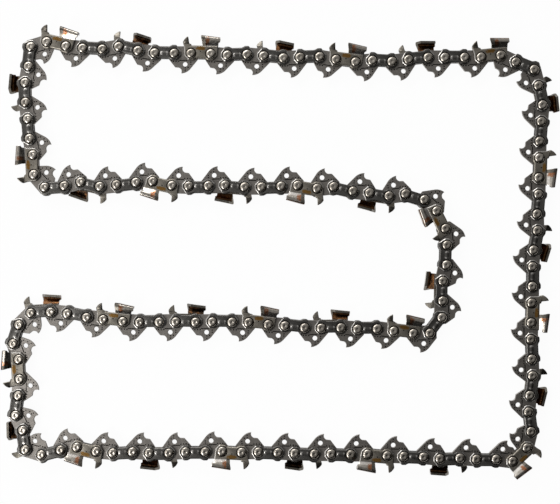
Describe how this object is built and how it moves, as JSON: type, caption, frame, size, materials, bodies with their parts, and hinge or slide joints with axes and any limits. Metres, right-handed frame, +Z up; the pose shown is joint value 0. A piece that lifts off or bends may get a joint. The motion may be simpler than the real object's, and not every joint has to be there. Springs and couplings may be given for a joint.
{
  "type": "chainsaw chain loop",
  "caption": "Closed saw chain lying flat in a folded loop: hooked drive links between tie straps, with left and right cutters by turns, all joined by rivets.",
  "frame": {"origin": "middle of the lay on the floor that it lies on", "axes": "+X to the right along the long runs, +Y to the top run, +Z up from the floor"},
  "size_m": [0.2928, 0.238, 0.0072],
  "materials": {
    "drive_steel": "tumbled grey steel",
    "strap_steel": "dark oiled steel with worn bright edges",
    "cutter_chrome": "chrome plate with amber heat stain",
    "rivet_steel": "bright peened steel"
  },
  "bodies": {
    "top_run": {"top_run_tie_straps": "strap_steel", "top_run_rivets": "rivet_steel", "top_run_drive_links": "drive_steel", "top_run_left_cutters": "cutter_chrome", "top_run_right_cutters": "cutter_chrome"},
    "right_upper": {"right_upper_tie_straps": "strap_steel", "right_upper_right_cutters": "cutter_chrome", "right_upper_rivets": "rivet_steel", "right_upper_drive_links": "drive_steel"},
    "right_upper_joint": {"right_upper_joint_left_cutters": "cutter_chrome", "right_upper_joint_tie_straps": "strap_steel", "right_upper_joint_rivets": "rivet_steel", "right_upper_joint_drive_links": "drive_steel"},
    "right_middle": {"right_middle_drive_links": "drive_steel", "right_middle_tie_straps": "strap_steel", "right_middle_right_cutters": "cutter_chrome", "right_middle_rivets": "rivet_steel"},
    "right_lower_joint": {"right_lower_joint_tie_straps": "strap_steel", "right_lower_joint_rivets": "rivet_steel", "right_lower_joint_drive_links": "drive_steel", "right_lower_joint_left_cutters": "cutter_chrome"},
    "right_lower": {"right_lower_tie_straps": "strap_steel", "right_lower_right_cutters": "cutter_chrome", "right_lower_rivets": "rivet_steel", "right_lower_drive_links": "drive_steel"},
    "bottom_run": {"bottom_run_tie_straps": "strap_steel", "bottom_run_rivets": "rivet_steel", "bottom_run_drive_links": "drive_steel", "bottom_run_left_cutters": "cutter_chrome", "bottom_run_right_cutters": "cutter_chrome"},
    "left_lower": {"left_lower_tie_straps": "strap_steel", "left_lower_rivets": "rivet_steel", "left_lower_drive_links": "drive_steel"},
    "inner_lower_run": {"inner_lower_run_left_cutters": "cutter_chrome", "inner_lower_run_tie_straps": "strap_steel", "inner_lower_run_rivets": "rivet_steel", "inner_lower_run_drive_links": "drive_steel", "inner_lower_run_right_cutters": "cutter_chrome"},
    "inner_right": {"inner_right_drive_links": "drive_steel", "inner_right_tie_straps": "strap_steel", "inner_right_right_cutters": "cutter_chrome", "inner_right_rivets": "rivet_steel"},
    "inner_upper_run": {"inner_upper_run_tie_straps": "strap_steel", "inner_upper_run_rivets": "rivet_steel", "inner_upper_run_drive_links": "drive_steel", "inner_upper_run_left_cutters": "cutter_chrome", "inner_upper_run_right_cutters": "cutter_chrome"},
    "left_upper": {"left_upper_tie_straps": "strap_steel", "left_upper_rivets": "rivet_steel", "left_upper_drive_links": "drive_steel", "left_upper_right_cutters": "cutter_chrome"}
  },
  "joints": [
    {"name": "bottom_sway", "type": "hinge", "parent": "bottom_run", "child": "left_lower", "pos_m": [-0.13864, -0.08534, 0.0036], "axis": [0, 0, 1], "range_deg": [-20, 20]},
    {"name": "bottom_sway_inner", "type": "hinge", "parent": "left_lower", "child": "inner_lower_run", "pos_m": [-0.13654, -0.06641, 0.0036], "axis": [0, 0, 1], "range_deg": [-20, 20]},
    {"name": "bottom_sway_right", "type": "hinge", "parent": "bottom_run", "child": "right_lower", "pos_m": [0.12968, -0.08363, 0.0036], "axis": [0, 0, 1], "range_deg": [-20, 20]},
    {"name": "bottom_sway_right_top", "type": "hinge", "parent": "right_lower", "child": "right_lower_joint", "pos_m": [0.13179, -0.06471, 0.0036], "axis": [0, 0, 1], "range_deg": [-20, 20]},
    {"name": "middle_sway", "type": "hinge", "parent": "inner_lower_run", "child": "inner_right", "pos_m": [0.08443, -0.03423, 0.0036], "axis": [0, 0, 1], "range_deg": [-15, 15]},
    {"name": "middle_sway_inner", "type": "hinge", "parent": "inner_right", "child": "inner_upper_run", "pos_m": [0.08682, -0.00669, 0.0036], "axis": [0, 0, 1], "range_deg": [-15, 15]},
    {"name": "middle_sway_right", "type": "hinge", "parent": "right_lower_joint", "child": "right_middle", "pos_m": [0.13176, -0.00758, 0.0036], "axis": [0, 0, 1], "range_deg": [-15, 15]},
    {"name": "middle_sway_right_top", "type": "hinge", "parent": "right_middle", "child": "right_upper_joint", "pos_m": [0.13415, 0.01995, 0.0036], "axis": [0, 0, 1], "range_deg": [-15, 15]},
    {"name": "top_sway", "type": "hinge", "parent": "inner_upper_run", "child": "left_upper", "pos_m": [-0.13138, 0.05949, 0.0036], "axis": [0, 0, 1], "range_deg": [-20, 10]},
    {"name": "top_sway_top", "type": "hinge", "parent": "left_upper", "child": "top_run", "pos_m": [-0.13189, 0.0973, 0.0036], "axis": [0, 0, 1], "range_deg": [-10, 20]},
    {"name": "top_sway_right", "type": "hinge", "parent": "right_upper_joint", "child": "right_upper", "pos_m": [0.13537, 0.04932, 0.0036], "axis": [0, 0, 1], "range_deg": [-20, 10]}
  ],
  "couplings": [
    {"joint": "bottom_sway_inner", "follows": "bottom_sway", "ratio": -1},
    {"joint": "bottom_sway_right", "follows": "bottom_sway", "ratio": 1},
    {"joint": "bottom_sway_right_top", "follows": "bottom_sway", "ratio": -1},
    {"joint": "middle_sway_inner", "follows": "middle_sway", "ratio": -1},
    {"joint": "middle_sway_right", "follows": "middle_sway", "ratio": 1},
    {"joint": "middle_sway_right_top", "follows": "middle_sway", "ratio": -1},
    {"joint": "top_sway_top", "follows": "top_sway", "ratio": -1},
    {"joint": "top_sway_right", "follows": "top_sway", "ratio": 1}
  ]
}
